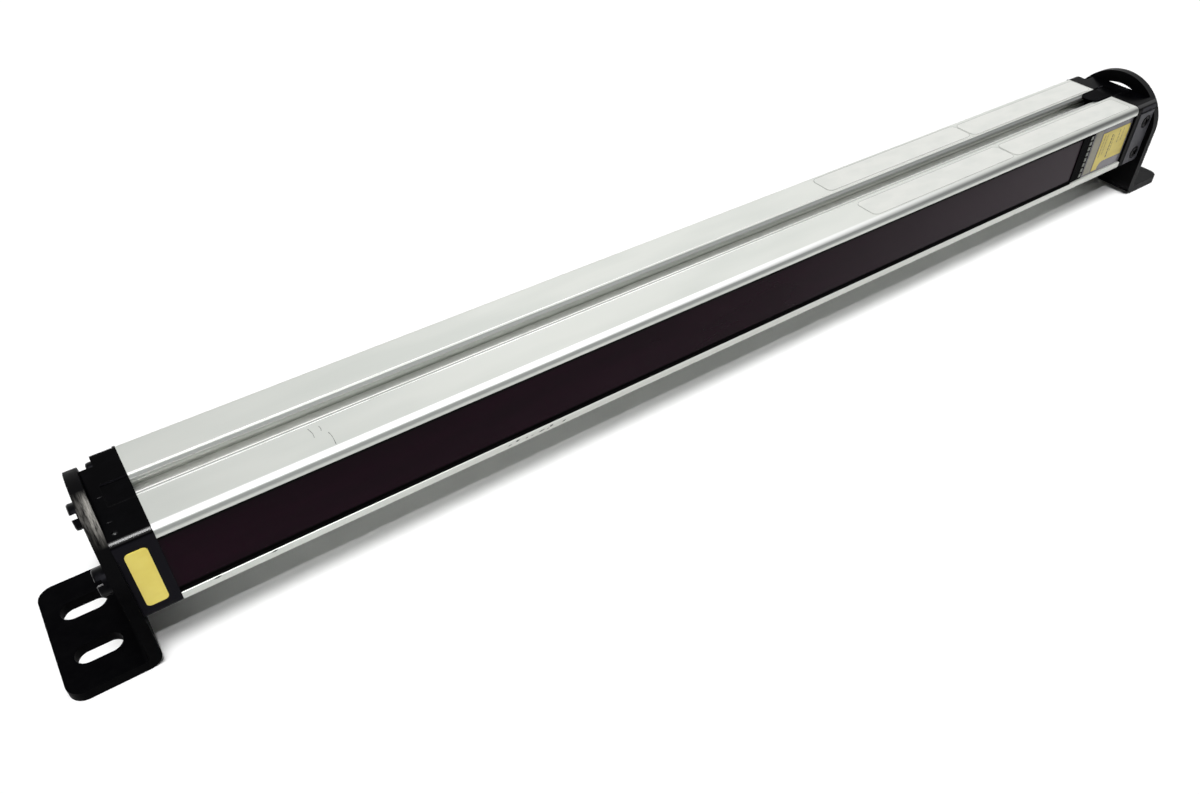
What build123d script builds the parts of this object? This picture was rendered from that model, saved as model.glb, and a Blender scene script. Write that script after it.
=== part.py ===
from build123d import *
import math
import os

# All lengths are in millimetres. X runs along the bar, Z is up, the window looks towards -Y.
# Z is 0 at the underside of the feet.

# Bar
axis_height = 38.0
section_depth = 45.2
section_height = 36.0
section_corner_r = 2.55
profile_length = 512.6
cap_length_left = 12.7
cap_length_right = 16.7
bar_end = (profile_length + cap_length_left + cap_length_right) / 2
profile_low_x = cap_length_left - bar_end
profile_high_x = bar_end - cap_length_right
half_depth = section_depth / 2
half_height = section_height / 2
bar_top = axis_height + half_height

# T-slot in the upper and lower face
slot_mouth_half = 3.3
slot_step_half = 5.3
slot_step_depth = 0.5
slot_lip_t = 1.9
slot_half = 7.8
slot_depth = 7.0
slot_wall_t = 1.8
slot_edge = 0.35

# Window opening and the pocket behind its lips
lip_t = 1.2
lip_edge_r = 0.5
opening_half = 13.4
pocket_half = 15.2
window_t = 3.0
pocket_back_y = -half_depth + lip_t + window_t
rib_t = 1.5

# Inner chambers
back_wall_t = 2.0
outer_wall_t = 2.2
core_half = half_height - slot_depth - slot_wall_t
chamber_edge_y = slot_half + slot_wall_t
core_back_y = half_depth - back_wall_t

# Corner screws of the caps
port_back_y = 18.6
port_back_z = 14.2
port_front_y = -13.6
port_front_z = 14.0
port_boss_r = 2.7
cap_screw_d = 3.0
port_clearance = 0.05
cap_hole_clearance = 0.3
cap_screw_head_d = 5.6
cap_screw_head_h = 2.1
cap_screw_length = 16.0
cap_screw_slot = 0.9
shank_sides = 8

# Optical window, which ends where the status window starts
status_length = 44.0
lens_end_x = profile_high_x - status_length
seal_show = 1.3
ledge_seal_t = 0.6
ledge_seal_inset = 0.3
seal_t = 0.8
pocket_gap = 0.2

# Status window
divider_w = 2.2
divider_proud = 0.5
bezel_w = 8.5
light_count = 8
light_pitch = 3.05
light_w = 1.7
light_h = 2.0
light_fit = 0.1
light_proud = 0.25
light_mid_z = -0.4
light_offset_x = 6.2
film_t = 0.15
diffuser_offset_x = 0.8
diffuser_w = 6.0
diffuser_h = 24.4
card_offset_x = 8.1
card_w = 23.8
card_top_z = 9.6
card_low_z = -7.9
card_tab_z = -12.1
card_tab_w = 4.6
card_bend_r = 3.6

# Optics inside
cell_pitch = 20.0
optics_end_gap = 7.0
cell_w = 14.0
cell_h = 12.0
carrier_margin = 6.0
carrier_t = 12.0
inner_gap = 0.2
array_t = 1.4
array_gap = 0.1
pad_h = 0.7
pad_gap = 1.0
board_t = 1.6
diode_w = 5.0
diode_h = 3.2
spacer_count = 6
spacer_r = 2.9
spacer_h = 8.6
control_inset = 11.0
chip_count = 8
chip_size = (12.0, 1.8, 9.0)
display_board_w = 34.0

# End caps
plug_depth = 5.0
plug_gap = 0.25
cap_seat = 8.3
seat_r = 3.1
channel_half = 5.6
channel_depth = 0.5
channel_length = 8.7
gasket_t = 1.0
gasket_inset = 0.5
gasket_w = 1.2
bracket_hole_d = 5.1
bracket_hole_depth = 9.0

# Cover plate on the right cap
cover_recess_x = 3.1
cover_recess_top = 14.0
cover_recess_depth = 2.4
cover_gap = 1.2
cover_screw_x = 12.0
cover_screw_z = (7.0, -11.0)
cover_screw_head_d = 6.6
cover_screw_head_h = 1.5
cover_screw_sink = 1.3
cover_sink_gap = 0.3
cover_screw_d = 3.0
cover_screw_reach = 3.0
cross_w = 1.0
cross_l = 4.2
cross_depth = 0.8

# Tongue in the upper slot, right end
tongue_length = 14.3
tongue_r = 5.0
tongue_proud = 0.25
tongue_side_gap = 0.1

# Connector on the right end
connector_body_d = 16.0
connector_bore_gap = 0.1
connector_seat_x = 4.0
connector_body_out = 3.0
barrel_d = 12.0
barrel_out = 13.5
barrel_bore_d = 8.8
socket_depth = 8.5
pin_count = 8
pin_circle_r = 2.75
pin_r = 0.5
pin_sides = 8
pin_length = 7.0
wire_hole_w = 8.0

# Bracket
plate_t = 4.2
bracket_r = 25.4
foot_reach = 29.7
foot_corner_r = 5.5
bend_outer_r = 5.8
bend_inner_r = 1.6
foot_slot_w = 8.2
foot_slot_l = 15.5
foot_slot_x = 16.8
foot_slot_y = 10.5
arc_r = 16.5
arc_w = 5.6
arc_travel = 23.0
centre_hole_d = 21.0

# Bracket screws
bracket_screw_y = 16.5
bracket_screw_d = 5.0
bracket_screw_head_d = 9.6
bracket_screw_head_h = 3.9
bracket_screw_grip = 8.0
driver_slot_w = 1.8
driver_slot_depth = 2.0
driver_slot_turn = -42.0

# Badge and label films
badge_inset = 5.7
badge_w = 7.0
badge_h = 24.9
badge_t = 0.35
badge_r = 1.6
label_t = 0.12
label_r = 3.0

# Each film's two ends, measured back from the profile's right end, and its two long edges
label_boxes = {
    "label_back_long": (197.8, 98.5, 7.0, 19.9),
    "label_back_short": (97.9, 0.7, 6.2, 19.2),
    "label_front_long": (196.3, 98.7, -19.8, -6.9),
    "label_front_short": (98.1, 3.3, -20.0, -7.0),
}


def block(x_low, x_high, y_low, y_high, z_low, z_high):
    size = Box(x_high - x_low, y_high - y_low, z_high - z_low)
    return Pos((x_low + x_high) / 2, (y_low + y_high) / 2, (z_low + z_high) / 2) * size


def rect(y_low, y_high, z_low, z_high):
    return Pos((y_low + y_high) / 2, (z_low + z_high) / 2) * Rectangle(y_high - y_low, z_high - z_low)


def bar(sketch, x_low, x_high):
    start = Plane(origin=(x_low, 0, axis_height), x_dir=(0, 1, 0), z_dir=(1, 0, 0))
    return extrude(start * sketch, amount=x_high - x_low)


def rod_x(diameter, x_low, x_high, y, z):
    return bar(Pos(y, z) * Circle(diameter / 2), x_low, x_high)


def rod_y(diameter, x, z, y_low, y_high):
    start = Plane(origin=(x, y_low, axis_height + z), x_dir=(1, 0, 0), z_dir=(0, 1, 0))
    return extrude(start * Circle(diameter / 2), amount=y_high - y_low)


# Shank left as an eight-sided rod, because its thread is out of sight in its hole
def shank_x(diameter, x_low, x_high, y, z):
    return bar(Pos(y, z) * RegularPolygon(diameter / 2, shank_sides), x_low, x_high)


def corners_near(sketch, places):
    chosen = []
    for vertex in sketch.vertices():
        for y, z in places:
            if abs(vertex.X - y) < 0.01 and abs(vertex.Y - z) < 0.01:
                chosen.append(vertex)
    return chosen


def outline():
    return RectangleRounded(section_depth, section_height, section_corner_r)


def port_places():
    places = []
    for side in (-1, 1):
        places.append((port_back_y, side * port_back_z))
        places.append((port_front_y, side * port_front_z))
    return places


def slot_cut(side):
    face_z = side * half_height
    step = rect(-slot_step_half, slot_step_half, 0, slot_step_depth)
    mouth = rect(-slot_mouth_half, slot_mouth_half, 0, slot_lip_t)
    room = rect(-slot_half, slot_half, slot_lip_t, slot_depth)
    shape = step + mouth + room
    if side > 0:
        shape = mirror(shape, about=Plane.XZ)
    return Pos(0, face_z) * shape


# Satin aluminium profile
def housing_extrusion():
    face = outline()
    for side in (-1, 1):
        face -= slot_cut(side)
    face -= rect(-half_depth - 1, pocket_back_y - window_t, -opening_half, opening_half)
    face -= rect(-half_depth + lip_t, pocket_back_y, -pocket_half, pocket_half)
    face -= rect(pocket_back_y, core_back_y, -core_half, core_half)
    for side in (-1, 1):
        low, high = sorted((side * core_half, side * (half_height - outer_wall_t)))
        face -= rect(chamber_edge_y, core_back_y, low, high)
        face -= rect(pocket_back_y + rib_t, -chamber_edge_y, low, high)
    for y, z in port_places():
        face += Pos(y, z) * Circle(port_boss_r)
    slot_edges = [(y, z) for y in (-slot_step_half, slot_step_half) for z in (-half_height, half_height)]
    face = chamfer(corners_near(face, slot_edges), slot_edge)
    lip_edges = [(-half_depth, z) for z in (-opening_half, opening_half)]
    face = fillet(corners_near(face, lip_edges), lip_edge_r)
    for y, z in port_places():
        face -= Pos(y, z) * Circle(cap_screw_d / 2 + port_clearance)
    return bar(face, profile_low_x, profile_high_x)


# Dark red window, stepped so that its middle fills the opening
def lens_window():
    front_y = -half_depth + lip_t
    raised_half = opening_half - ledge_seal_t - seal_show
    raised = rect(front_y, front_y + seal_t, -raised_half, raised_half)
    flange = rect(front_y + seal_t, pocket_back_y, pocket_gap - pocket_half, pocket_half - pocket_gap)
    return bar(raised + flange, profile_low_x, lens_end_x)


# Seal along one edge of the window
def lens_seal(side):
    front_y = -half_depth + lip_t
    inner = opening_half - ledge_seal_t - seal_show
    flat = rect(front_y, front_y + seal_t, inner, pocket_half - pocket_gap)
    ledge = rect(-half_depth + ledge_seal_inset, front_y, opening_half - ledge_seal_t, opening_half)
    shape = flat + ledge
    if side < 0:
        shape = mirror(shape, about=Plane.XZ)
    return bar(shape, profile_low_x, lens_end_x)


def pocket_slice():
    return rect(-half_depth + lip_t, pocket_back_y, pocket_gap - pocket_half, pocket_half - pocket_gap)


# Black bar between the two windows
def window_divider():
    front_y = -half_depth + lip_t
    ridge_half = opening_half - ledge_seal_t
    ridge = rect(front_y - divider_proud, front_y, -ridge_half, ridge_half)
    return bar(pocket_slice() + ridge, lens_end_x, lens_end_x + divider_w)


def light_places():
    x = lens_end_x + divider_w + light_offset_x
    top = light_mid_z + light_pitch * (light_count - 1) / 2
    return [(x, top - light_pitch * i) for i in range(light_count)]


def light(x, z, grow, y_low, y_high):
    half_w = light_w / 2 + grow
    half_h = light_h / 2 + grow
    return block(x - half_w, x + half_w, y_low, y_high, axis_height + z - half_h, axis_height + z + half_h)


# Dark column with a hole for each light
def indicator_bezel():
    x_low = lens_end_x + divider_w
    body = bar(pocket_slice(), x_low, x_low + bezel_w)
    for x, z in light_places():
        body -= light(x, z, light_fit, -half_depth, pocket_back_y + 1)
    return body


# Row of small status lights
def status_lights():
    front_y = -half_depth + lip_t - light_proud
    return [light(x, z, 0, front_y, pocket_back_y) for x, z in light_places()]


# Greyish clear cover of the status window
def display_cover():
    return bar(pocket_slice(), lens_end_x + divider_w + bezel_w, profile_high_x)


def front_film(sketch, y_back, thickness):
    start = Plane(origin=(0, y_back, axis_height), x_dir=(1, 0, 0), z_dir=(0, -1, 0))
    return extrude(start * sketch, amount=thickness)


# Pale strip beside the lights
def light_diffuser():
    x_low = lens_end_x + divider_w + bezel_w + diffuser_offset_x
    strip = Pos(x_low + diffuser_w / 2, 0) * Rectangle(diffuser_w, diffuser_h)
    return front_film(strip, -half_depth + lip_t, film_t)


# Yellow card with a tab at its lower left
def status_card():
    left = lens_end_x + divider_w + bezel_w + card_offset_x
    right = left + card_w
    tab_right = left + card_tab_w
    points = [
        (left, card_top_z),
        (right, card_top_z),
        (right, card_low_z),
        (tab_right, card_low_z),
        (tab_right, card_tab_z),
        (left, card_tab_z),
    ]
    card = make_face(Polyline(points, close=True))
    card = fillet(corners_near(card, [(tab_right, card_low_z)]), card_bend_r)
    return front_film(card, -half_depth + lip_t, film_t)


# As many beams as the window has room for, evenly spaced about its middle
def cell_places():
    mid = (profile_low_x + lens_end_x) / 2
    room = lens_end_x - profile_low_x - 2 * (optics_end_gap + carrier_margin)
    steps = int(room / cell_pitch)
    first = mid - cell_pitch * steps / 2
    return [first + cell_pitch * i for i in range(steps + 1)]


def carrier_span():
    cells = cell_places()
    return cells[0] - carrier_margin, cells[-1] + carrier_margin


carrier_front_y = pocket_back_y + pad_h + array_gap + array_t
carrier_back_y = carrier_front_y + carrier_t
optics_back_y = carrier_back_y + board_t
control_front_y = optics_back_y + spacer_h


# A block centred on the axis in front of or inside one cell
def cell_block(x, width, height, y_low, y_high):
    return block(x - width / 2, x + width / 2, y_low, y_high, axis_height - height / 2, axis_height + height / 2)


# Black bar with one square tube for each beam
def optic_carrier():
    x_low, x_high = carrier_span()
    body = block(x_low, x_high, carrier_front_y, carrier_back_y,
                 axis_height - core_half, axis_height + core_half - inner_gap)
    for x in cell_places():
        body -= cell_block(x, cell_w, cell_h, carrier_front_y - 1, carrier_back_y + 1)
    return body


# Clear strip with a raised lens in front of each tube
def lens_array():
    x_low, x_high = carrier_span()
    back = carrier_front_y
    front = back - array_t
    height = core_half - inner_gap
    strip = block(x_low, x_high, front, back, axis_height - height, axis_height + height)
    for x in cell_places():
        strip += cell_block(x, cell_w - pad_gap, cell_h - pad_gap, front - pad_h, front)
    return strip


# One device at the bottom of each tube
def receiver_diodes():
    return [cell_block(x, diode_w, diode_w, carrier_back_y - diode_h, carrier_back_y) for x in cell_places()]


# Board that closes the tubes
def optics_board():
    x_low, x_high = carrier_span()
    height = core_half - inner_gap
    return block(x_low, x_high, carrier_back_y, optics_back_y, axis_height - height, axis_height + height)


# Hexagon posts between the two boards
def board_spacers():
    x_low, x_high = carrier_span()
    step = (x_high - x_low - 2 * cell_pitch) / (spacer_count - 1)
    places = [x_low + cell_pitch + step * i for i in range(spacer_count)]
    hexagon = RegularPolygon(spacer_r, 6)
    posts = []
    for x in places:
        start = Plane(origin=(x, optics_back_y, axis_height), x_dir=(1, 0, 0), z_dir=(0, 1, 0))
        posts.append(extrude(start * hexagon, amount=spacer_h))
    return posts


def control_span():
    x_low, x_high = carrier_span()
    return x_low + control_inset, x_high - control_inset


# Main board
def control_board():
    x_low, x_high = control_span()
    height = core_half - inner_gap
    return block(x_low, x_high, control_front_y, control_front_y + board_t,
                 axis_height - height, axis_height + height)


# Packages on the main board
def control_chips():
    x_low, x_high = control_span()
    step = (x_high - x_low) / chip_count
    length, height, width = chip_size
    chips = []
    for i in range(chip_count):
        x = x_low + step * (i + 0.5)
        y = control_front_y + board_t
        chips.append(block(x - length / 2, x + length / 2, y, y + height,
                           axis_height - width / 2, axis_height + width / 2))
    return chips


# Small board behind the status lights
def display_board():
    x_low = lens_end_x + divider_w
    return block(x_low, x_low + display_board_w, pocket_back_y, pocket_back_y + board_t,
                 axis_height - core_half, axis_height + core_half - inner_gap)


# Ring that follows the end wall of the profile and dips round both slots
def gasket_ring():
    front = pocket_back_y - window_t + gasket_inset
    back = half_depth - gasket_inset
    top = half_height - gasket_inset
    outer = rect(front, back, -top, top)
    inner = rect(front + gasket_w, back - gasket_w, gasket_w - top, top - gasket_w)
    dip = slot_half + gasket_inset
    floor_z = half_height - slot_depth - gasket_inset
    for side in (-1, 1):
        low, high = sorted((side * floor_z, side * half_height))
        outer -= rect(-dip, dip, low, high)
        low, high = sorted((side * (floor_z - gasket_w), side * half_height))
        inner -= rect(-dip - gasket_w, dip + gasket_w, low, high)
    return outer - inner


# Body shared by both caps, from x = 0 at the profile's end out to x = length
def cap_body(length):
    body = bar(outline(), 0, length)
    body += bar(rect(pocket_back_y + plug_gap, core_back_y - plug_gap,
                     plug_gap - core_half, core_half - plug_gap), -plug_depth, 0)
    body -= bar(gasket_ring(), 0, gasket_t)
    for y, z in port_places():
        body -= rod_x(cap_screw_d + cap_hole_clearance, -1, length + 1, y, z)
    for side in (-1, 1):
        body -= rod_x(2 * seat_r, cap_seat, length + 1, port_front_y, side * port_front_z)
        corner = Pos(port_back_y, side * port_back_z)
        notch = corner * Circle(seat_r)
        notch += corner * rect(-seat_r, seat_r + half_depth, *sorted((0, side * half_height)))
        notch += corner * rect(0, half_depth, *sorted((-side * seat_r, side * half_height)))
        body -= bar(notch, cap_seat, length + 1)
    for y in (-bracket_screw_y, bracket_screw_y):
        body -= rod_x(bracket_hole_d, length - bracket_hole_depth, length + 1, y, 0)
    top = axis_height + half_height
    body -= block(-1, channel_length, -channel_half, channel_half, top - channel_depth, top + 1)
    return body


def cap_gasket():
    return bar(gasket_ring(), 0, gasket_t)


def cap_screw(y, z):
    head_end = cap_seat + cap_screw_head_h
    shank = shank_x(cap_screw_d - 2 * port_clearance, cap_seat - cap_screw_length, cap_seat, y, z)
    head = rod_x(cap_screw_head_d, cap_seat, head_end, y, z)
    groove = block(head_end - cap_screw_slot, head_end + 1, y - cap_screw_head_d, y + cap_screw_head_d,
                   axis_height + z - cap_screw_slot / 2, axis_height + z + cap_screw_slot / 2)
    return shank + head - groove


def cap_screws():
    return [cap_screw(y, z) for y, z in port_places()]


# Room for the cover plate, sunk into the right cap's front
def cover_room(length, gap):
    return block(cover_recess_x + gap, length + 1, -half_depth - 1, -half_depth + cover_recess_depth,
                 axis_height - half_height - 1, axis_height + cover_recess_top - gap)


def right_cap():
    length = cap_length_right
    body = cap_body(length)
    body -= cover_room(length, 0)
    inner_y = -half_depth + cover_recess_depth
    for z in cover_screw_z:
        body -= rod_y(cover_screw_d, cover_screw_x, z, inner_y - 1, inner_y + cover_screw_reach)
    body -= rod_x(connector_body_d + 2 * connector_bore_gap, connector_seat_x, length + 1, 0, 0)
    wire_half = wire_hole_w / 2
    body -= bar(rect(-wire_half, wire_half, -wire_half, wire_half), -plug_depth - 1, length)
    return body


# Cover plate on the right cap's front
def right_cover():
    length = cap_length_right
    body = bar(outline(), 0, length) & cover_room(length, cover_gap)
    for z in cover_screw_z:
        body -= rod_y(cover_screw_d + cap_hole_clearance, cover_screw_x, z, -half_depth - 1, half_depth)
        sink_d = cover_screw_head_d + 2 * cover_sink_gap
        body -= rod_y(sink_d, cover_screw_x, z, -half_depth - 1, cover_screw_sink - half_depth)
    return body


def cover_screw(z):
    seat_y = cover_screw_sink - half_depth
    front_y = seat_y - cover_screw_head_h
    tip_y = -half_depth + cover_recess_depth + cover_screw_reach
    head = rod_y(cover_screw_head_d, cover_screw_x, z, front_y, seat_y)
    start = Plane(origin=(cover_screw_x, seat_y, axis_height + z), x_dir=(1, 0, 0), z_dir=(0, 1, 0))
    shank = RegularPolygon(cover_screw_d / 2 - port_clearance, shank_sides)
    screw = head + extrude(start * shank, amount=tip_y - seat_y)
    x = cover_screw_x
    for half_x, half_z in ((cross_l / 2, cross_w / 2), (cross_w / 2, cross_l / 2)):
        screw -= block(x - half_x, x + half_x, front_y - 1, front_y + cross_depth,
                       axis_height + z - half_z, axis_height + z + half_z)
    return screw


# Tongue that closes the upper slot beside the right cap
def slot_tongue():
    x_high = profile_high_x
    x_low = x_high - tongue_length
    top = bar_top + tongue_proud
    room_half = slot_mouth_half - tongue_side_gap
    stem = block(x_low + tongue_r, x_high, -room_half, room_half, bar_top - slot_depth, bar_top)
    pad_low = bar_top - slot_step_depth
    pad = block(x_low + tongue_r, x_high, -tongue_r, tongue_r, pad_low, top)
    pad += Pos(x_low + tongue_r, 0, (pad_low + top) / 2) * Cylinder(tongue_r, top - pad_low)
    return stem + pad


# Threaded socket on the bar's axis
def connector_shell():
    tip = cap_length_right + barrel_out
    body_end = cap_length_right + connector_body_out
    shell = rod_x(connector_body_d, connector_seat_x, body_end, 0, 0)
    shell += rod_x(barrel_d, body_end, tip, 0, 0)
    return shell - rod_x(barrel_bore_d, 0, tip + 1, 0, 0)


def insert_face():
    return cap_length_right + barrel_out - socket_depth


# Plastic insert that holds the pins
def connector_insert():
    return rod_x(barrel_bore_d, connector_seat_x, insert_face(), 0, 0)


def pin_places():
    step = 2 * math.pi / pin_count
    return [(pin_circle_r * math.cos(step * i), pin_circle_r * math.sin(step * i)) for i in range(pin_count)]


def connector_pins():
    pin = RegularPolygon(pin_r, pin_sides)
    x_low = insert_face()
    return [bar(Pos(y, z) * pin, x_low, x_low + pin_length) for y, z in pin_places()]


def arc_slot(angle):
    start = math.radians(angle - arc_travel)
    end = math.radians(angle + arc_travel)
    ring = Circle(arc_r + arc_w / 2) - Circle(arc_r - arc_w / 2)
    reach = 3 * arc_r
    wedge = Polyline(
        (0, 0),
        (reach * math.cos(start), reach * math.sin(start)),
        (reach * math.cos(end), reach * math.sin(end)),
        close=True,
    )
    slot = ring & make_face(wedge)
    for turn in (start, end):
        slot += Pos(arc_r * math.cos(turn), arc_r * math.sin(turn)) * Circle(arc_w / 2)
    return slot


# Bent steel bracket, from x = 0 at the cap's end outwards
def bracket():
    top = axis_height + bracket_r
    points = [
        (0, 0),
        (foot_reach, 0),
        (foot_reach, plate_t),
        (plate_t, plate_t),
        (plate_t, top),
        (0, top),
    ]
    side_view = make_face(Polyline(points, close=True))
    side_view = fillet(corners_near(side_view, [points[0]]), bend_outer_r)
    side_view = fillet(corners_near(side_view, [points[3]]), bend_inner_r)
    start = Plane(origin=(0, bracket_r, 0), x_dir=(1, 0, 0), z_dir=(0, -1, 0))
    body = extrude(start * side_view, amount=2 * bracket_r)
    arch = Circle(bracket_r) + rect(-bracket_r, bracket_r, -axis_height, 0)
    body = body & bar(arch, -1, foot_reach + 1)
    tips = body.edges().filter_by(Axis.Z).filter_by(lambda e: e.center().X > foot_reach - 0.1)
    body = fillet(tips, foot_corner_r)
    for angle in (0, 90, 180, 270):
        body -= bar(arc_slot(angle), -1, plate_t + 1)
    body -= rod_x(centre_hole_d, -1, plate_t + 1, 0, 0)
    for y in (-foot_slot_y, foot_slot_y):
        slot = Pos(foot_slot_x, y) * SlotOverall(foot_slot_l, foot_slot_w)
        body -= Pos(0, 0, -1) * extrude(slot, amount=plate_t + 2)
    return body


# Slotted cheese-head screw in one of the side arcs
def bracket_screw(length, y):
    seat = length + plate_t
    head_end = seat + bracket_screw_head_h
    head = rod_x(bracket_screw_head_d, seat, head_end, y, 0)
    shank_d = bracket_screw_d - 2 * port_clearance
    shank = shank_x(shank_d, seat - plate_t - bracket_screw_grip, seat, y, 0)
    line = Pos(y, 0) * Rot(0, 0, driver_slot_turn) * Rectangle(2 * bracket_screw_head_d, driver_slot_w)
    return head + shank - bar(line, head_end - driver_slot_depth, head_end + 1)


def bracket_screws(length):
    return [bracket_screw(length, y) for y in (-bracket_screw_y, bracket_screw_y)]


# Yellow badge on the left cap's front
def badge_plate():
    sketch = Pos(cap_length_left - badge_inset, 0) * RectangleRounded(badge_w, badge_h, badge_r)
    return front_film(sketch, -half_depth, badge_t)


# Thin film on the upper face
def label_film(start, end, y_low, y_high):
    sketch = RectangleRounded(start - end, y_high - y_low, label_r)
    mid_x = profile_high_x - (start + end) / 2
    return Pos(mid_x, (y_low + y_high) / 2, bar_top) * extrude(sketch, amount=label_t)


def right_end(shape):
    return Pos(profile_high_x, 0, 0) * shape


def left_end(shape):
    return Pos(profile_low_x, 0, 0) * mirror(shape, about=Plane.YZ)


def grouped(shapes, place):
    return Compound([place(shape) for shape in shapes])


def save(name, shape):
    export_step(shape, os.path.join("parts", name + ".step"))


os.makedirs("parts", exist_ok=True)

save("housing_extrusion", housing_extrusion())
save("lens_window", lens_window())
save("lens_seal_upper", lens_seal(1))
save("lens_seal_lower", lens_seal(-1))
save("window_divider", window_divider())
save("indicator_bezel", indicator_bezel())
save("status_lights", Compound(status_lights()))
save("display_cover", display_cover())
save("light_diffuser", light_diffuser())
save("status_card", status_card())

save("optic_carrier", optic_carrier())
save("lens_array", lens_array())
save("receiver_diodes", Compound(receiver_diodes()))
save("optics_board", optics_board())
save("board_spacers", Compound(board_spacers()))
save("control_board", control_board())
save("control_chips", Compound(control_chips()))
save("display_board", display_board())

save("end_cap_left", left_end(cap_body(cap_length_left)))
save("end_cap_right", right_end(right_cap()))
save("cap_gasket_left", left_end(cap_gasket()))
save("cap_gasket_right", right_end(cap_gasket()))
save("cap_screws_left", grouped(cap_screws(), left_end))
save("cap_screws_right", grouped(cap_screws(), right_end))
save("cap_cover_right", right_end(right_cover()))
save("cover_screws", grouped([cover_screw(z) for z in cover_screw_z], right_end))
save("slot_tongue", slot_tongue())

save("connector_shell", right_end(connector_shell()))
save("connector_insert", right_end(connector_insert()))
save("connector_pins", grouped(connector_pins(), right_end))

save("mounting_bracket_left", Pos(-bar_end, 0, 0) * mirror(bracket(), about=Plane.YZ))
save("mounting_bracket_right", Pos(bar_end, 0, 0) * bracket())
save("bracket_screws_left", grouped(bracket_screws(cap_length_left), left_end))
save("bracket_screws_right", grouped(bracket_screws(cap_length_right), right_end))

save("badge_plate", left_end(badge_plate()))
for name, box in label_boxes.items():
    save(name, label_film(*box))
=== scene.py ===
import math
import bmesh
import bpy
import numpy as np
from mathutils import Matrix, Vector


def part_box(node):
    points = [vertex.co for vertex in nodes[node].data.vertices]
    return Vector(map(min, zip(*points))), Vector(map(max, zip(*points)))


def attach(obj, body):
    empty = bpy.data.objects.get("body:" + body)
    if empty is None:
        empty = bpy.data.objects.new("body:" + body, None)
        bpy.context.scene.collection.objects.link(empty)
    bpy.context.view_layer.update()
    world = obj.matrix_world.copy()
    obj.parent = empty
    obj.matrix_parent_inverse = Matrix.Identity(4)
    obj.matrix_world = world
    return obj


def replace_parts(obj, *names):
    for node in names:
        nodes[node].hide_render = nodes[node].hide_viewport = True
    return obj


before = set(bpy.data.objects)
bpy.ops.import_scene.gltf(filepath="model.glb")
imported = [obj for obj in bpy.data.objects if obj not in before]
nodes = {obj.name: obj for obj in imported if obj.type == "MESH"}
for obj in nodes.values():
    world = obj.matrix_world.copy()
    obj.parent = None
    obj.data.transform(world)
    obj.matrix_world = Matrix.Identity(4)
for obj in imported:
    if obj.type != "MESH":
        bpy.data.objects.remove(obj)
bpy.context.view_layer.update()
print("frame loaded:", len(nodes), "pieces")

mm = 0.001

# places taken from the frame
barLow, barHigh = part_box("housing_extrusion")
barTop = barHigh[2]
axisHeight = (barLow[2] + barHigh[2]) / 2


def hexToLinear(hexText):
    # sRGB hex to linear red, green, blue and alpha
    values = [int(hexText[i:i + 2], 16) / 255 for i in (1, 3, 5)]
    linear = [v / 12.92 if v <= 0.04045 else ((v + 0.055) / 1.055) ** 2.4 for v in values]
    return (*linear, 1.0)


def addNode(tree, kind, settings=None, links=None):
    # one shader node with its settings and the sockets that feed it
    node = tree.nodes.new(kind)
    for name, value in (settings or {}).items():
        if isinstance(name, str) and hasattr(node, name):
            setattr(node, name, value)
        else:
            node.inputs[name].default_value = value
    for name, source in (links or {}).items():
        tree.links.new(source, node.inputs[name])
    return node


def newMaterial(name, shaderSettings):
    # an empty material with its shader, its output and the Object coordinates
    material = bpy.data.materials.new(name)
    material.use_nodes = True
    tree = material.node_tree
    tree.nodes.clear()
    shader = addNode(tree, "ShaderNodeBsdfPrincipled", shaderSettings)
    addNode(tree, "ShaderNodeOutputMaterial", links={"Surface": shader.outputs["BSDF"]})
    coordinates = addNode(tree, "ShaderNodeTexCoord")
    return material, tree, shader, coordinates


def grainAt(tree, coordinates, sizeMm, detail=2.0, roughness=0.5):
    # noise whose blotches are sizeMm long in X, Y and Z
    scale = tuple(1000 / size for size in sizeMm)
    placed = addNode(tree, "ShaderNodeMapping", {"Scale": scale}, {"Vector": coordinates.outputs["Object"]})
    noise = addNode(tree, "ShaderNodeTexNoise", {"Scale": 1.0, "Detail": detail, "Roughness": roughness},
                    {"Vector": placed.outputs["Vector"]})
    return noise.outputs["Fac"]


def mottled(tree, coordinates, sizeMm, stops, detail=3.0, roughness=0.6):
    # patches of noise and the colour they give; stops are two pairs of noise value and hex colour
    patches = grainAt(tree, coordinates, sizeMm, detail, roughness)
    ramp = addNode(tree, "ShaderNodeValToRGB", links={"Fac": patches})
    for element, (position, colour) in zip(ramp.color_ramp.elements, stops):
        element.position = position
        element.color = hexToLinear(colour)
    return patches, ramp.outputs["Color"]


noiseSpan = (0.3, 0.7)  # noise values between which a roughness changes


def spanOf(start, end, low, high):
    # settings of a Map Range node that goes from low at the start to high at the end
    return {"From Min": start, "From Max": end, "To Min": low, "To Max": high}


def overlap(tree, masks):
    # product of the masks
    whole = masks[0]
    for mask in masks[1:]:
        product = addNode(tree, "ShaderNodeMath", {"operation": "MULTIPLY"}, {0: whole, 1: mask})
        whole = product.outputs["Value"]
    return whole


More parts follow.
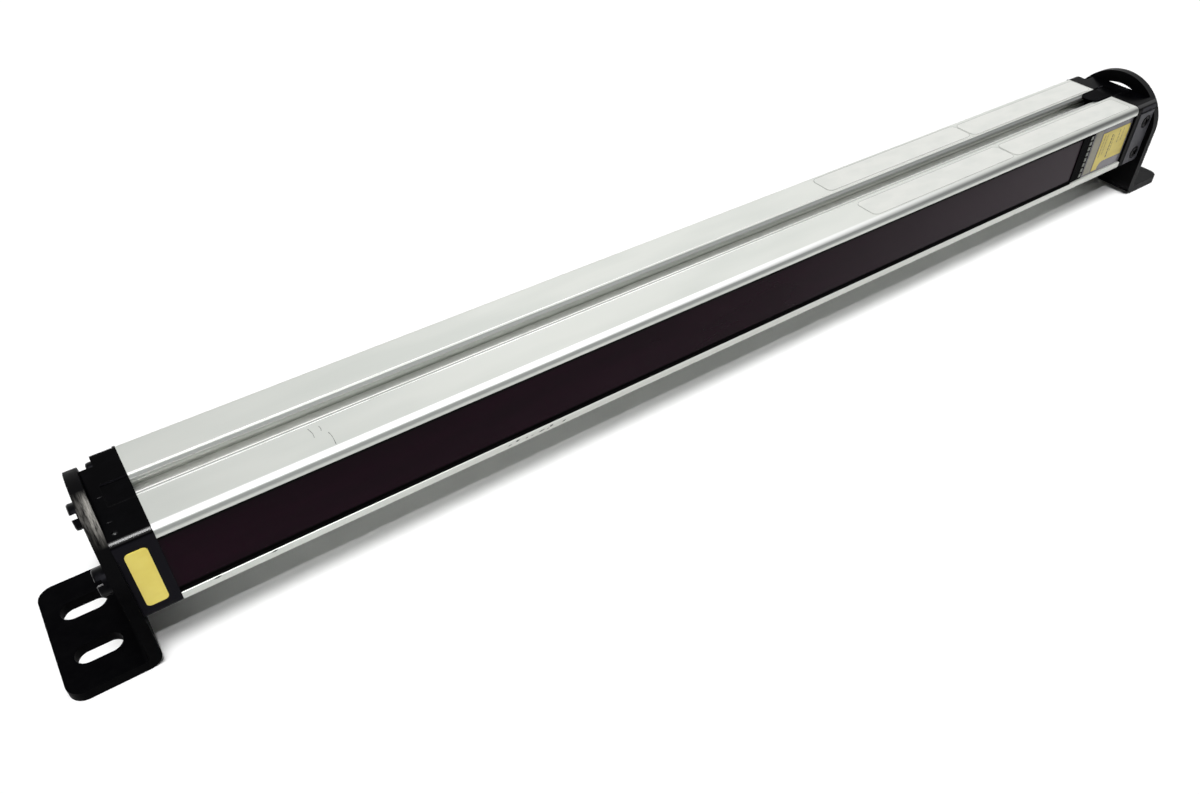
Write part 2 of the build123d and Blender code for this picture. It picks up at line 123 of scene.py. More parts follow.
def maskOf(tree, source, limits, unit=mm):
    # 1 where all limits hold: (output, centre, half, soft) is a band that falls to 0 over soft beyond half,
    # and (output, start, end, low, high) is a slope from low at the start to high at the end
    masks = []
    for output, start, *rest in limits:
        value, slope = source.outputs[output], (start, *rest)
        if len(rest) == 2:
            half, soft = rest
            shifted = addNode(tree, "ShaderNodeMath", {"operation": "SUBTRACT", 1: start * unit}, {0: value})
            settings = {"operation": "ABSOLUTE"}
            away = addNode(tree, "ShaderNodeMath", settings, {0: shifted.outputs["Value"]})
            value, slope = away.outputs["Value"], (half, half + soft, 1.0, 0.0)
        settings = spanOf(slope[0] * unit, slope[1] * unit, *slope[2:])
        masks.append(addNode(tree, "ShaderNodeMapRange", settings, {"Value": value}).outputs["Result"])
    return overlap(tree, masks)


def layColours(tree, shader, colour, layers=()):
    # lays each layer's hex colour over the ones before, where its mask is 1, and colours the shader
    for mask, hexText in layers:
        settings = {"data_type": "RGBA", 7: hexToLinear(hexText)}
        colour = addNode(tree, "ShaderNodeMix", settings, {0: mask, 6: colour}).outputs[2]
    tree.links.new(colour, shader.inputs["Base Color"])


def bumpFrom(tree, shader, height, strength, distanceMm, edgeMm=0.0):
    # small relief; with edgeMm the sharp edges catch the light as if rounded to that radius
    settings = {"Strength": strength, "Distance": distanceMm * mm}
    bump = addNode(tree, "ShaderNodeBump", settings, {"Height": height})
    if edgeMm:
        rounded = addNode(tree, "ShaderNodeBevel", {"samples": 4, "Radius": edgeMm * mm})
        tree.links.new(rounded.outputs["Normal"], bump.inputs["Normal"])
    tree.links.new(bump.outputs["Normal"], shader.inputs["Normal"])


topFace = barTop / mm
frontFace = barLow[1] / mm
aluminiumLook = {
    "colour": "#D2D4CF",
    "colourDull": "#C9CCC7",
    "metallic": 0.6,
    "roughness": (0.34, 0.46),
    "drawLineMm": (90.0, 0.35, 0.35),  # coarser across the bar than the real lines, so that they show
    "cloudMm": (70.0, 18.0, 18.0),
    "relief": (0.12, 0.02),
    "edgeMm": 0.25,
    # colour and place of each zone, as maskOf reads it, in millimetres
    "zones": (
        # painted light: the slot's floor is paler than the faces
        ("#FDFDFB", (("Y", 0.0, 7.1, 0.4), ("Z", topFace - 7.0, 0.05, 0.05))),
        # painted shade on the rear and front step of the slot
        ("#949693", (("Y", 4.3, 0.9, 0.3), ("Z", topFace - 0.5, 0.05, 0.1))),
        ("#A2A5A1", (("Y", -4.3, 0.9, 0.3), ("Z", topFace - 0.5, 0.05, 0.1))),
        # painted shade on the slot's lips, growing towards the right and deeper on the rear one
        ("#606260", (("Y", 0.0, 6.5, 0.3), ("Z", topFace - 1.1, 0.85, 0.1), ("Y", -2.0, 2.0, 0.5, 1.0),
                     ("X", -100.0, 200.0, 0.0, 0.7))),
        # painted dark reflection: a line under the upper front edge
        ("#949794", (("Y", frontFace, 0.45, 0.4), ("Z", topFace - 2.0, 0.45, 0.9))),
        # painted shade on the lip below the window, growing from x = -220 to -120
        ("#C6C7C2", (("Y", frontFace, 0.45, 0.4), ("Z", topFace - 32.8, 1.2, 0.8),
                     ("X", -220.0, -120.0, 0.0, 1.0))),
        # painted highlight on the rounded front edge at the left, and painted shade on it at the right
        ("#FFFFFF", (("Y", frontFace + 2.1, frontFace + 2.7, 1.0, 0.0), ("Z", topFace, 0.85, 0.55),
                     ("X", -40.0, 160.0, 1.0, 0.0))),
        ("#595B59", (("Y", frontFace + 2.1, frontFace + 2.7, 1.0, 0.0), ("Z", topFace - 1.2, 0.3, 1.1),
                     ("X", -120.0, 210.0, 0.0, 1.0))),
        # painted shade: the upper face is a little darker at the left end
        ("#A0A39F", (("Z", topFace, 0.3, 0.3), ("X", -120.0, -250.0, 0.0, 0.3))),
    ),
}


def anodisedAluminium():
    # drawn and satin anodised: long faint lines along the bar, a soft cloudy sheen and bright thin edges;
    # the tones that change by place are painted light and shade, set to the brightness of the photograph
    look = aluminiumLook
    material, tree, shader, coordinates = newMaterial("anodisedAluminium", {"Metallic": look["metallic"]})
    place = addNode(tree, "ShaderNodeSeparateXYZ", links={"Vector": coordinates.outputs["Object"]})
    stops = ((0.35, look["colourDull"]), (0.6, look["colour"]))
    cloudTone = mottled(tree, coordinates, look["cloudMm"], stops, 2.0, 0.5)[1]
    layers = [(maskOf(tree, place, limits), colour) for colour, limits in look["zones"]]
    layColours(tree, shader, cloudTone, layers)
    lines = grainAt(tree, coordinates, look["drawLineMm"], 3.0, 0.6)
    dull = addNode(tree, "ShaderNodeMapRange", spanOf(*noiseSpan, *look["roughness"]), {"Value": lines})
    tree.links.new(dull.outputs["Result"], shader.inputs["Roughness"])
    bumpFrom(tree, shader, lines, *look["relief"], look["edgeMm"])
    return material


highlightLineLook = {
    "colour": "#FFFFFD",
    "metallic": 0.9,
    "roughness": 0.22,
    "blotchMm": (12.0, 0.5, 0.5),
    "fade": ("X", -60.0, 60.0, 0.0, 1.0),
}


def highlightAluminium():
    # painted highlight lines along the slot's edges: a bright line that fades towards the right end
    look = highlightLineLook
    material, tree, shader, coordinates = newMaterial(
        "highlightAluminium", {"Metallic": look["metallic"], "Roughness": look["roughness"]})
    place = addNode(tree, "ShaderNodeSeparateXYZ", links={"Vector": coordinates.outputs["Object"]})
    stops = ((0.3, aluminiumLook["colour"]), (0.5, look["colour"]))
    highlightTone = mottled(tree, coordinates, look["blotchMm"], stops)[1]
    faded = maskOf(tree, place, [look["fade"]])
    layColours(tree, shader, highlightTone, [(faded, aluminiumLook["colour"])])
    return material


wornAndShadeLook = {
    "roughness": 0.6,
    "specular": 0.2,
    "blotchMm": (0.8, 0.8, 0.8),
}


def wornAndShadeAluminium(name, colours):
    # where the anodised layer is scratched, and a painted shade line: dull grey against the satin face,
    # uneven along it
    look = wornAndShadeLook
    material, tree, shader, coordinates = newMaterial(
        name, {"Roughness": look["roughness"], "Specular IOR Level": look["specular"]})
    stops = ((0.4, colours[0]), (0.6, colours[1]))
    layColours(tree, shader, mottled(tree, coordinates, look["blotchMm"], stops)[1])
    return material


windowLook = {
    "colour": "#18000F",
    "colourDeep": "#12000B",
    # painted reflection, laid on more towards the right
    "reflectionTint": "#30272D",
    "reflectionFade": ("X", 0.0, 200.0, 0.0, 1.0),
    "ior": 1.49,
    "specular": 0.045,
    "roughness": (0.10, 0.17),
    "smearMm": (60.0, 30.0, 9.0),
}


def redAcrylicWindow():
    # cast acrylic, infrared red: almost black, glossy, with a few soft smears, and a painted reflection that
    # grows paler towards the right, set to the brightness of the photograph
    look = windowLook
    material, tree, shader, coordinates = newMaterial(
        "redAcrylicWindow", {"IOR": look["ior"], "Specular IOR Level": look["specular"]})
    place = addNode(tree, "ShaderNodeSeparateXYZ", links={"Vector": coordinates.outputs["Object"]})
    stops = ((0.35, look["colourDeep"]), (0.7, look["colour"]))
    smears, smearTone = mottled(tree, coordinates, look["smearMm"], stops, 3.0, 0.55)
    reflecting = maskOf(tree, place, [look["reflectionFade"]])
    layColours(tree, shader, smearTone, [(reflecting, look["reflectionTint"])])
    dull = addNode(tree, "ShaderNodeMapRange", spanOf(*noiseSpan, *look["roughness"]), {"Value": smears})
    tree.links.new(dull.outputs["Result"], shader.inputs["Roughness"])
    return material


plasticLook = {
    "ior": 1.53,
    "handlingMm": (14.0, 9.0, 9.0),
    "handlingSpan": (0.3, 0.75),
    "relief": (0.1, 0.03),
}


def mouldedPlastic(name, colours, roughness, textureMm, specular, edgeMm=0.0):
    # injection moulded: an even colour broken by faint handling marks, with a fine spark-eroded texture,
    # drawn coarser than the real one so that it shows
    look = plasticLook
    settings = {"IOR": look["ior"], "Specular IOR Level": specular}
    material, tree, shader, coordinates = newMaterial(name, settings)
    stops = ((0.4, colours[0]), (0.8, colours[1]))
    handling, handlingTone = mottled(tree, coordinates, look["handlingMm"], stops, 4.0)
    layColours(tree, shader, handlingTone)
    span = spanOf(*look["handlingSpan"], *roughness)
    dull = addNode(tree, "ShaderNodeMapRange", span, {"Value": handling})
    tree.links.new(dull.outputs["Result"], shader.inputs["Roughness"])
    texture = grainAt(tree, coordinates, (textureMm,) * 3)
    bumpFrom(tree, shader, texture, *look["relief"], edgeMm)
    return material


capLook = {
    "gloss": "#020203",
    "glossWorn": "#060608",
    "front": "#17161B",
    "frontGrey": "#3A3A3E",
    "ior": 1.53,
    "glossRoughness": 0.22,
    "frontRoughness": 0.55,
    "wholeFrontMm": -1000.0,  # left of both caps, so that all of the front face is matte
    "specular": (0.015, 0.28),
    "frontFacing": ("Y", -0.9, -0.99, 0.0, 1.0),
    "edgeFacing": ("Y", -0.5, 0.2, 0.15),
    "handlingMm": (9.0, 7.0, 7.0),
    "textureMm": (0.7, 0.7, 0.7),  # coarser than the mould's real texture, so that it shows
    "relief": (0.06, 0.03),
    "edgeMm": 0.6,
}


def glossyCap(name, frontColour, frontFromMm):
    # black ABS: deep black on top with a glint on the rubbed front edge; the front face, beyond frontFromMm
    # along X, has the mould's fine matte texture
    look = capLook
    material, tree, shader, coordinates = newMaterial(name, {"IOR": look["ior"]})
    facing = addNode(tree, "ShaderNodeSeparateXYZ", links={"Vector": coordinates.outputs["Normal"]})
    place = addNode(tree, "ShaderNodeSeparateXYZ", links={"Vector": coordinates.outputs["Object"]})
    forward = maskOf(tree, facing, [look["frontFacing"]], 1.0)
    beyond = maskOf(tree, place, [("X", frontFromMm, frontFromMm + 0.1, 0.0, 1.0)])
    front = overlap(tree, [forward, beyond])
    onEdge = maskOf(tree, facing, [look["edgeFacing"]], 1.0)
    stops = ((0.45, look["gloss"]), (0.8, look["glossWorn"]))
    glossTone = mottled(tree, coordinates, look["handlingMm"], stops, 4.0)[1]
    layColours(tree, shader, glossTone, [(front, frontColour)])
    glint = addNode(tree, "ShaderNodeMapRange", spanOf(0.0, 1.0, *look["specular"]), {"Value": onEdge})
    tree.links.new(glint.outputs["Result"], shader.inputs["Specular IOR Level"])
    roughness = (look["glossRoughness"], look["frontRoughness"])
    dull = addNode(tree, "ShaderNodeMapRange", spanOf(0.0, 1.0, *roughness), {"Value": front})
    tree.links.new(dull.outputs["Result"], shader.inputs["Roughness"])
    texture = grainAt(tree, coordinates, look["textureMm"])
    bumpFrom(tree, shader, texture, *look["relief"], look["edgeMm"])
    return material


powderLook = {
    "coat": "#010102",
    "coatPale": "#050506",
    "rimBlack": "#0C0C0D",
    "rimGrey": "#B4B1AB",
    "ior": 1.5,
    "roughness": (0.38, 0.52),
    "peelMm": (0.9, 0.9, 0.9),
    "patchMm": (5.0, 4.0, 4.0),
    "streakMm": (0.5, 4.0, 4.0),
    "streaks": (0.72, 0.95),
    "greyingLowers": (0.4, 0.25),
    "rim": ("Value", 24.9, 25.3, 0.0, 1.0),
    "aboveAxisMm": (-2.0, 5.0),
    "greyed": ("Y", -11.0, 3.0, 6.0),
    "outward": ("X", -273.6, -272.4, 0.25, 1.0),
    "relief": (0.2, 0.05),
    "edgeMm": 0.35,
}


def blackPowderCoat(name, greying, specular):
    # baked powder coat: fine orange peel, a paler black along the arch's upper rim and pale grey streaks on
    # its front quarter; radius is the distance from the bar's axis
    look = powderLook
    settings = {"IOR": look["ior"], "Specular IOR Level": specular}
    material, tree, shader, coordinates = newMaterial(name, settings)
    place = addNode(tree, "ShaderNodeSeparateXYZ", links={"Vector": coordinates.outputs["Object"]})
    centred = addNode(tree, "ShaderNodeMapping", {"Location": (0, 0, -axisHeight), "Scale": (0, 1, 1)},
                      {"Vector": coordinates.outputs["Object"]})
    radius = addNode(tree, "ShaderNodeVectorMath", {"operation": "LENGTH"}, {0: centred.outputs["Vector"]})
    lower, upper = (axisHeight / mm + height for height in look["aboveAxisMm"])
    above = maskOf(tree, place, [("Z", lower, upper, 0.0, 1.0)])
    onRim = overlap(tree, [maskOf(tree, radius, [look["rim"]]), above])
    start, end = (value - greying * less for value, less in zip(look["streaks"], look["greyingLowers"]))
    streaks = grainAt(tree, coordinates, look["streakMm"], 4.0, 0.6)
    greyed = addNode(tree, "ShaderNodeMapRange", spanOf(start, end, 0.0, 1.0), {"Value": streaks})
    reached = maskOf(tree, place, [look["greyed"], look["outward"]])
    bare = overlap(tree, [onRim, reached, greyed.outputs["Result"]])
    stops = ((0.4, look["coat"]), (0.75, look["coatPale"]))
    patches, coatTone = mottled(tree, coordinates, look["patchMm"], stops, 5.0, 0.65)
    layColours(tree, shader, coatTone, [(onRim, look["rimBlack"]), (bare, look["rimGrey"])])
    dull = addNode(tree, "ShaderNodeMapRange", spanOf(*noiseSpan, *look["roughness"]), {"Value": patches})
    tree.links.new(dull.outputs["Result"], shader.inputs["Roughness"])
    peel = grainAt(tree, coordinates, look["peelMm"])
    bumpFrom(tree, shader, peel, *look["relief"], look["edgeMm"])
    return material


filmLook = {
    "ior": 1.5,
    "waveMm": (11.0, 6.0, 6.0),
    "relief": (0.1, 0.05),
}


def printedFilm(name, colour, colourWorn, roughness):
    # polyester label film: nearly flat colour with a slight waviness from the glue underneath
    look = filmLook
    material, tree, shader, coordinates = newMaterial(name, {"IOR": look["ior"], "Roughness": roughness})
    stops = ((0.3, colourWorn), (0.6, colour))
    wave, waveTone = mottled(tree, coordinates, look["waveMm"], stops, 3.0, 0.5)
    layColours(tree, shader, waveTone)
    bumpFrom(tree, shader, wave, *look["relief"])
    return material


metalRelief = (0.1, 0.03)


def plainMetal(name, colours, roughness, grainMm):
    # plated or blackened steel: small uneven patches in the sheen
    material, tree, shader, coordinates = newMaterial(name, {"Metallic": 1.0})
    stops = ((0.3, colours[0]), (0.7, colours[1]))
    patches, patchTone = mottled(tree, coordinates, (grainMm,) * 3, stops)
    layColours(tree, shader, patchTone)
    dull = addNode(tree, "ShaderNodeMapRange", spanOf(*noiseSpan, *roughness), {"Value": patches})
    tree.links.new(dull.outputs["Result"], shader.inputs["Roughness"])
    bumpFrom(tree, shader, patches, *metalRelief)
    return material


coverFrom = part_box("cap_cover_right")[0][0] / mm
finishes = {
    "anodisedAluminium": anodisedAluminium(),
    # painted highlight lines along the slot's edges
    "highlightAluminium": highlightAluminium(),
    "scratchedAluminium": wornAndShadeAluminium("scratchedAluminium", ("#565856", "#7E817E")),
    # painted shade line in front of the slot's step
    "shadeLineAluminium": wornAndShadeAluminium("shadeLineAluminium", ("#AEB1AD", "#BCBFBB")),
    "redAcrylicWindow": redAcrylicWindow(),
    "blackCap": glossyCap("blackAbsCap", capLook["front"], capLook["wholeFrontMm"]),
    "blackCapGreyFront": glossyCap("blackAbsCapGreyFront", capLook["frontGrey"], coverFrom),
    "charcoalCover": mouldedPlastic("charcoalPbtCover", ("#3A3A3E", "#45454A"), (0.48, 0.6), 0.6, 0.25, 0.2),
    "glossBlack": mouldedPlastic("blackPolishedPlastic", ("#020203", "#070709"), (0.18, 0.3), 0.8, 0.004,
                                 0.2),
    "matteBlack": mouldedPlastic("blackMattePlastic", ("#0B0B0D", "#131315"), (0.5, 0.62), 0.7, 0.15),
    "blackRubber": mouldedPlastic("blackSealRubber", ("#020202", "#060606"), (0.6, 0.75), 0.8, 0.03),
    "greyClear": mouldedPlastic("greyPolycarbonate", ("#68666B", "#78757B"), (0.10, 0.22), 1.5, 0.3),
    "paleStrip": mouldedPlastic("paleDiffuser", ("#7D7B6C", "#8F8C7D"), (0.25, 0.4), 1.2, 0.2),
    "lightLens": mouldedPlastic("clearEpoxyLight", ("#50554E", "#787C73"), (0.08, 0.2), 0.8, 0.3),
    # pale grey streaks on the left bracket's rim
    "powderGreyRim": blackPowderCoat("powderCoatGreyRim", 1.0, 0.012),
    "powderFresh": blackPowderCoat("powderCoat", 0.1, 0.06),
    "blackSteel": plainMetal("blackenedSteel", ("#08080A", "#101012"), (0.32, 0.48), 1.4),
    "nickelBrass": plainMetal("nickelledBrass", ("#A9A59A", "#C4C0B4"), (0.22, 0.34), 2.0),
    "goldPin": plainMetal("goldPlatedPin", ("#B58F3E", "#D6B25E"), (0.2, 0.3), 1.0),
    "nickelSteel": plainMetal("nickelledSteel", ("#9C9C98", "#B8B8B4"), (0.25, 0.4), 2.0),
    "labelFilm": printedFilm("labelPolyester", "#DCDDD8", "#D5D7D2", 0.34),
    "filmEdge": printedFilm("labelFilmEdge", "#9A9C98", "#8A8C88", 0.5),
    "cardPrint": printedFilm("cardPrintInk", "#5A5026", "#433B1A", 0.45),
    "yellowBadge": printedFilm("yellowBadgePolyester", "#F1DE66", "#EAD457", 0.28),
    "yellowCard": printedFilm("yellowPrintedCard", "#CBB847", "#B9A53B", 0.3),
    "boardGreen": mouldedPlastic("greenFibreglassBoard", ("#0E3A20", "#16502C"), (0.3, 0.45), 1.0, 0.4),
    "chipEpoxy": mouldedPlastic("blackChipEpoxy", ("#151517", "#222225"), (0.45, 0.6), 0.5, 0.3),
    "clearAcrylic": mouldedPlastic("clearAcrylicLens", ("#9FA5AB", "#B9BEC4"), (0.05, 0.12), 2.0, 0.5),
}
print("materials made:", len(finishes))

finishOfNode = {
    "housing_extrusion": "anodisedAluminium",
    "lens_window": "redAcrylicWindow",
    "lens_seal_upper": "blackRubber",
    # the lower seal is black rubber; its black band also stands for painted shade under the window's lower
    # edge
    "lens_seal_lower": "blackRubber",
    "window_divider": "glossBlack",
    "indicator_bezel": "glossBlack",
    "status_lights": "lightLens",
    "display_cover": "greyClear",
    "light_diffuser": "paleStrip",
    "status_card": "yellowCard",
    "optic_carrier": "matteBlack",
    "lens_array": "clearAcrylic",
    "receiver_diodes": "chipEpoxy",
    "optics_board": "boardGreen",
    "board_spacers": "nickelSteel",
    "control_board": "boardGreen",
    "control_chips": "chipEpoxy",
    "display_board": "boardGreen",
    "end_cap_left": "blackCap",
    "end_cap_right": "blackCapGreyFront",
    "cap_gasket_left": "blackRubber",
    "cap_gasket_right": "blackRubber",
    "cap_screws_left": "blackSteel",
    "cap_screws_right": "blackSteel",
    "cap_cover_right": "charcoalCover",
    "cover_screws": "blackSteel",
    "slot_tongue": "glossBlack",
    "connector_shell": "nickelBrass",
    "connector_insert": "matteBlack",
    "connector_pins": "goldPin",
    "mounting_bracket_left": "powderGreyRim",
    "mounting_bracket_right": "powderFresh",
    "bracket_screws_left": "blackSteel",
    "bracket_screws_right": "blackSteel",
    "badge_plate": "yellowBadge",
    "label_back_long": "labelFilm",
    "label_back_short": "labelFilm",
    "label_front_long": "labelFilm",
    "label_front_short": "labelFilm",
}
for nodeName, finishName in finishOfNode.items():
    slots = nodes[nodeName].data.materials
    slots.clear()
    slots.append(finishes[finishName])
print("pieces finished:", len(finishOfNode))


weldDistance = 1e-7
smoothDegrees = 40


def finishMesh(name, points, faces, finish, closed):
    # welds doubles, turns a closed surface outwards and shades it smooth up to smoothDegrees
    mesh = bpy.data.meshes.new(name)
    mesh.from_pydata(points.tolist(), [], faces.tolist())
    work = bmesh.new()
    work.from_mesh(mesh)
    bmesh.ops.remove_doubles(work, verts=work.verts, dist=weldDistance)
    bmesh.ops.dissolve_degenerate(work, edges=work.edges, dist=weldDistance)
    if closed:
        bmesh.ops.recalc_face_normals(work, faces=work.faces)
    work.to_mesh(mesh)
    work.free()
    mesh.shade_smooth()
    mesh.set_sharp_from_angle(angle=math.radians(smoothDegrees))
    mesh.materials.append(finishes[finish])
    piece = bpy.data.objects.new(name, mesh)
    bpy.context.scene.collection.objects.link(piece)
    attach(piece, "root")
    return piece


def surfacePiece(name, sheets, finish, closed=True):
    # each sheet is a grid of points in millimetres, rows by columns; on a closed one the last column joins
    # the first
    points, faces, start = [], [], 0
    for sheet in sheets:
        rows, columns = sheet.shape[:2]
        index = start + np.arange(rows * columns).reshape(rows, columns)
        beside = np.roll(index, -1, axis=1)
        quads = np.stack([index[:-1], beside[:-1], beside[1:], index[1:]], axis=-1)
        faces.append((quads if closed else quads[:, :-1]).reshape(-1, 4))
        points.append(sheet.reshape(-1, 3) * mm)
        start += rows * columns
    return finishMesh(name, np.concatenate(points), np.concatenate(faces), finish, closed)


def turnedSheet(origin, axis, across, along, radius):
    # surface of revolution, origin + s * axis + r * (cos(angle) * across + sin(angle) * (axis x across)):
    # along holds s for each row, radius holds that row's r for each angle
    columns = radius.shape[1]
    angle = np.linspace(0, 2 * np.pi, columns, endpoint=False)
    other = np.cross(axis, across)
    ring = np.cos(angle)[:, None] * across + np.sin(angle)[:, None] * other
    return origin + along[:, None, None] * axis + radius[:, :, None] * ring


def threadDip(along, columns, pitch):
    # triangle wave that climbs one pitch a turn: |2 frac(s / pitch - angle / 2 pi) - 1|
    turn = np.arange(columns) / columns
    phase = along[:, None] / pitch - turn[None, :]
    return np.abs(2 * (phase - np.floor(phase)) - 1)


threadShape = {"tipShare": 0.72, "dipShare": 0.12, "rowsPerTurn": 6, "columns": 16}


def threadedShank(origin, axis, across, length, radius, pitch):
    # closed rod with a helical thread, from the head's seat inwards: its radius is
    # radius * (tipShare + (1 - tipShare) * taper) - dipShare * pitch * taper * wave, where the taper falls
    # from 1 to 0 over the last turn
    shape = threadShape
    rows = int(length / pitch * shape["rowsPerTurn"])
    along = np.concatenate([[0.0], np.linspace(0.0, length, rows), [length]])
    taper = np.clip((length - along) / pitch, 0.0, 1.0)[:, None]
    wave = threadDip(along, shape["columns"], pitch)
    core = radius * (shape["tipShare"] + (1 - shape["tipShare"]) * taper)
    outer = core - shape["dipShare"] * pitch * taper * wave
    outer[0] = outer[-1] = 0.0
    return turnedSheet(origin, -axis, across, along, outer)


def cutBand(slices, half):
    # true from the second slice of the pair at -half to the first of the pair at +half
    order = np.arange(len(slices))
    first = order[np.isclose(slices, -half)][-1]
    last = order[np.isclose(slices, half)][0]
    return (order >= first) & (order <= last)


headGrid = {"slices": 27, "columns": (8, 3, 4)}  # points across each of the zones 0, 1 and 2


def screwHead(origin, axis, across, radius, height, rim, slotWidth, slotDepth, crossLength=0.0):
    # slices across the head: each is a loop over the rounded top and back along the flat seat; beyond
    # radius - rim the top is height - (rim - sqrt(rim^2 - (r - radius + rim)^2)), and the slot or the cross
    # lies slotDepth below height
    half, reach = slotWidth / 2, crossLength / 2
    turns = np.linspace(-np.pi / 2, np.pi / 2, headGrid["slices"])
    steps = [-reach, -half, half, reach] if crossLength else [-half, half]
    slices = np.sort(np.concatenate([radius * np.sin(turns), np.repeat(steps, 2)]))
    side = np.sqrt(np.maximum(radius ** 2 - slices ** 2, 0.0))
    inner, outer = np.minimum(half, side), np.minimum(max(reach, half), side)
    # zone 0 lies beyond the cut, zone 1 along the arms of a cross and zone 2 within the slot's width
    spans = [(-side, -outer, 0), (-outer, -inner, 1), (-inner, inner, 2), (inner, outer, 1),
             (outer, side, 0)]
    lines, zones = [], []
    for low, high, zone in spans:
        for share in (1 - np.cos(np.linspace(0, np.pi, headGrid["columns"][zone]))) / 2:
            lines.append(low + (high - low) * share)
            zones.append(zone)
    sideways = np.stack(lines, axis=1)
    distance = np.hypot(slices[:, None], sideways)
    over = np.clip(distance - (radius - rim), 0.0, rim)
    top = height - (rim - np.sqrt(np.maximum(rim ** 2 - over ** 2, 0.0)))
    inSlot = cutBand(slices, half)
    zones = np.array(zones)
    if crossLength:
        inCross = cutBand(slices, reach)
        cut = (inSlot[:, None] & (zones >= 1)) | (inCross[:, None] & (zones == 2))
    else:
        cut = np.repeat(inSlot[:, None], len(zones), axis=1)
    top = np.where(cut, np.minimum(top, height - slotDepth), top)
    rows = np.concatenate([sideways, sideways[:, -1:], sideways[:, :1]], axis=1)
    rise = np.concatenate([top, np.zeros((len(slices), 2))], axis=1)
    slotLine = np.cross(axis, across)
    return origin + slices[:, None, None] * across + rows[:, :, None] * slotLine + rise[:, :, None] * axis


capScrewShape = {"places": ((18.6, 14.2), (18.6, -14.2), (-13.6, 14.0), (-13.6, -14.0)),
                 "headRadius": 2.8, "headHeight": 2.1, "rim": 0.9, "slotWidth": 0.9, "slotDepth": 0.9,
                 "length": 16.0, "radius": 1.45, "pitch": 0.9, "turn": 25.0}
bracketScrewShape = {"places": ((16.5, 0.0), (-16.5, 0.0)),
                     "headRadius": 4.8, "headHeight": 3.9, "rim": 0.7, "slotWidth": 1.8, "slotDepth": 2.0,
                     "length": 12.2, "radius": 2.45, "pitch": 0.8, "turn": -42.0}


def endScrews(node, shape, side):
    # slotted screws along X, each a screwHead on a threadedShank; side is -1 at the left end, 1 at the right
    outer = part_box(node)[0 if side < 0 else 1][0] / mm
    axis = np.array([side, 0.0, 0.0])
    turn = math.radians(shape["turn"] + 90)
    across = np.array([0.0, math.cos(turn), math.sin(turn)])
    sheets = []
    for y, z in shape["places"]:
        seat = np.array([outer - side * shape["headHeight"], y, axisHeight / mm + z])
        sheets.append(screwHead(seat, axis, across, shape["headRadius"], shape["headHeight"], shape["rim"],
                                shape["slotWidth"], shape["slotDepth"]))
        sheets.append(threadedShank(seat, axis, across, shape["length"], shape["radius"], shape["pitch"]))
    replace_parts(surfacePiece(node + "Turned", sheets, "blackSteel"), node)


coverScrewShape = {"rises": (7.0, -11.0), "turns": (20.0, 55.0), "headRadius": 3.3, "headHeight": 1.5,
                   "rim": 0.8, "slotWidth": 1.0, "crossLength": 4.2, "slotDepth": 0.8, "length": 4.1,
                   "radius": 1.45, "pitch": 0.9}


def crossScrews(node):
    # the cover's two cross-head screws, each a screwHead on a threadedShank, facing -Y
    shape = coverScrewShape
    low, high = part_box(node)
    middle = (low[0] + high[0]) / 2 / mm
    axis = np.array([0.0, -1.0, 0.0])
    sheets = []
    for rise, turn in zip(shape["rises"], shape["turns"]):
        across = np.array([math.cos(math.radians(turn)), 0.0, math.sin(math.radians(turn))])
        seat = np.array([middle, low[1] / mm + shape["headHeight"], axisHeight / mm + rise])
        sheets.append(screwHead(seat, axis, across, shape["headRadius"], shape["headHeight"], shape["rim"],
                                shape["slotWidth"], shape["slotDepth"], shape["crossLength"]))
        sheets.append(threadedShank(seat, axis, across, shape["length"], shape["radius"], shape["pitch"]))
    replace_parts(surfacePiece(node + "Turned", sheets, "blackSteel"), node)


connectorShape = {"bodyRadius": 8.0, "bodyLength": 15.7, "knurlDepth": 0.3, "knurlCount": 30,
                  "knurlFrom": 13.0, "knurlEnd": 0.3, "barrelRadius": 6.0, "reliefDepth": 0.6,
                  "reliefLength": 1.2, "threadDepth": 0.6, "pitch": 1.0, "tipBevel": 0.6,
                  "boreRadius": 4.4, "bodyRows": 24, "threadRows": 90, "columns": 120}


def connectorSocket(node):
    # closed profile turned about X: body, relief, M12 thread, bevelled tip and the bore back inside; the
    # grip's radius dips by |sin(knurlCount * angle / 2)|, the thread's by a triangle wave
    shape = connectorShape
    low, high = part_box(node)
    length = (high[0] - low[0]) / mm
    body, tip = shape["bodyLength"], length - shape["tipBevel"]
    columns = shape["columns"]
    bodyLine = np.linspace(0.0, body, shape["bodyRows"])
    barrelLine = np.linspace(body + shape["reliefLength"], tip, shape["threadRows"])
    knurl = np.abs(np.sin(np.arange(columns) / columns * np.pi * shape["knurlCount"]))
    knurled = ((bodyLine > shape["knurlFrom"]) & (bodyLine < body - shape["knurlEnd"]))[:, None]
    bodyRadius = shape["bodyRadius"] - shape["knurlDepth"] * knurl[None, :] * knurled
    relief = shape["barrelRadius"] - shape["reliefDepth"]
    wave = threadDip(barrelLine, columns, shape["pitch"])
    barrelRadius = shape["barrelRadius"] - shape["threadDepth"] * wave
    plain = [(body, relief), (body + shape["reliefLength"], relief)]
    ends = [(length, relief), (length, shape["boreRadius"]), (0.0, shape["boreRadius"]),
            (0.0, shape["bodyRadius"])]
    along = np.concatenate([bodyLine, [p[0] for p in plain], barrelLine, [p[0] for p in ends]])
    radius = np.concatenate([bodyRadius, np.repeat([[p[1]] for p in plain], columns, axis=1), barrelRadius,
                             np.repeat([[p[1]] for p in ends], columns, axis=1)])
    origin = np.array([low[0] / mm, 0.0, axisHeight / mm])
    sheet = turnedSheet(origin, np.array([1.0, 0, 0]), np.array([0, 1.0, 0]), along, radius)
    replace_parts(surfacePiece("connectorThread", [sheet], "nickelBrass"), node)


waverRadians = (7, 18, 29)  # how far each sine turns along a strip


